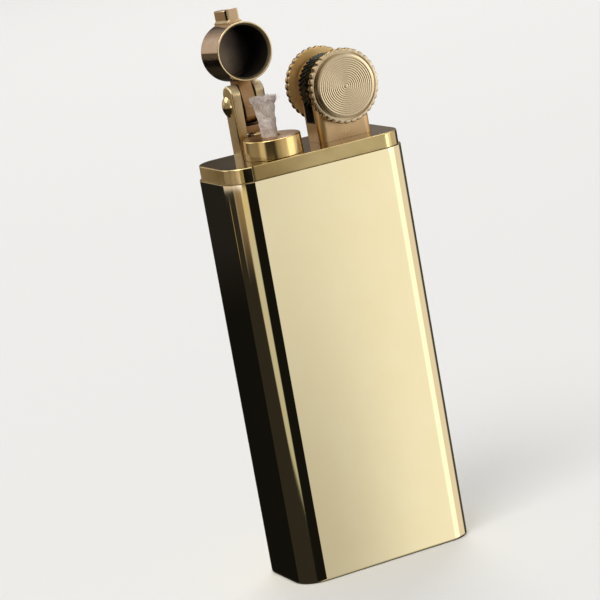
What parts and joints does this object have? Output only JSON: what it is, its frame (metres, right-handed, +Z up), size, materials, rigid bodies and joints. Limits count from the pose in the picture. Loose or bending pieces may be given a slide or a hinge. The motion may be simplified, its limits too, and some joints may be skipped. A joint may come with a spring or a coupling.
{
  "type": "petrol lighter",
  "caption": "Flat brass lift-arm petrol lighter: rounded case, wick with hinged snuffer cup held open, and a flint wheel between scalloped thumb wheels.",
  "frame": {"origin": "centre of the flat underside that the lighter stands on", "axes": "+Z up the case to the wheels, +X to the right towards the thumb wheels, +Y to the back; the thumb wheels' turned faces look along -Y and +Y"},
  "size_m": [0.0286, 0.0161, 0.0833],
  "materials": {
    "polished_brass": "mirror-polished brass",
    "turned_brass": "fine-turned brass with concentric rings",
    "aged_brass": "brass gone brown with handling and heat",
    "plain_brass": "plain machined brass",
    "hardened_steel": "blackened hardened steel, file-cut",
    "bright_steel": "bright machined steel",
    "spring_steel": "drawn spring wire",
    "ferrocerium": "dull grey pressed flint",
    "cotton_wick": "frayed white cotton",
    "cotton_wadding": "loose cotton",
    "seal_rubber": "matt fuel-proof rubber"
  },
  "bodies": {
    "root": {"case_shell": "polished_brass", "base_plate": "polished_brass", "deck_plate": "polished_brass", "wick_collar": "polished_brass", "wick_tube": "plain_brass", "wick": "cotton_wick", "cotton_wadding": "cotton_wadding", "flint_tube": "plain_brass", "wheel_block": "polished_brass", "block_screws": "bright_steel", "snuffer_fork": "polished_brass", "pivot_rivet": "polished_brass", "arm_washers": "bright_steel", "filler_neck": "plain_brass"},
    "wheel_set": {"wheel_axle": "bright_steel", "flint_wheel": "hardened_steel", "front_thumb_wheel": "turned_brass", "rear_thumb_wheel": "turned_brass", "wheel_washers": "bright_steel"},
    "snuffer": {"snuffer_cup": "aged_brass", "snuffer_arm": "aged_brass", "finger_tab": "aged_brass"},
    "shoe": {"friction_shoe": "aged_brass", "friction_spring": "spring_steel"},
    "flint_stack": {"flint": "ferrocerium", "flint_pusher": "plain_brass", "flint_spring": "spring_steel"},
    "flint_seal_ring": {"flint_seal": "seal_rubber"},
    "flint_screw_turn": {"flint_screw": "plain_brass"},
    "filler_seal_ring": {"filler_seal": "seal_rubber"},
    "filler_screw_turn": {"filler_screw": "plain_brass"}
  },
  "joints": [
    {"name": "wheel_spin", "type": "hinge", "parent": "root", "child": "wheel_set", "pos_m": [0.0069, 0, 0.06985], "axis": [0, 1, 0], "continuous": true},
    {"name": "snuffer_swing", "type": "hinge", "parent": "root", "child": "snuffer", "pos_m": [-0.00465, 0.00575, 0.06925], "axis": [1, 0, 0], "range_deg": [-12, 93.5]},
    {"name": "shoe_press", "type": "slide", "parent": "root", "child": "shoe", "axis": [0, 0, 1], "range_m": [-0.0006, 0], "stiffness_N_per_m": 150, "springref_m": 0.001, "deforming": ["friction_spring"]},
    {"name": "flint_feed", "type": "slide", "parent": "root", "child": "flint_stack", "axis": [0, 0, 1], "range_m": [-0.0025, 0], "stiffness_N_per_m": 20, "springref_m": 0.03, "deforming": ["flint_spring"]},
    {"name": "flint_screw_out", "type": "slide", "parent": "root", "child": "flint_seal_ring", "axis": [0, 0, -1], "range_m": [0, 0.0145]},
    {"name": "flint_screw_spin", "type": "hinge", "parent": "flint_seal_ring", "child": "flint_screw_turn", "pos_m": [0.0069, 0, 0], "axis": [0, 0, -1], "range_deg": [0, 10440.5]},
    {"name": "filler_screw_out", "type": "slide", "parent": "root", "child": "filler_seal_ring", "axis": [0, 0, -1], "range_m": [0, 0.0055]},
    {"name": "filler_screw_spin", "type": "hinge", "parent": "filler_seal_ring", "child": "filler_screw_turn", "pos_m": [-0.006, 0, 0], "axis": [0, 0, -1], "range_deg": [0, 2829.07]}
  ],
  "couplings": [
    {"joint": "flint_screw_spin", "follows": "flint_screw_out", "rad_per_m": 12566},
    {"joint": "filler_screw_spin", "follows": "filler_screw_out", "rad_per_m": 8976}
  ]
}
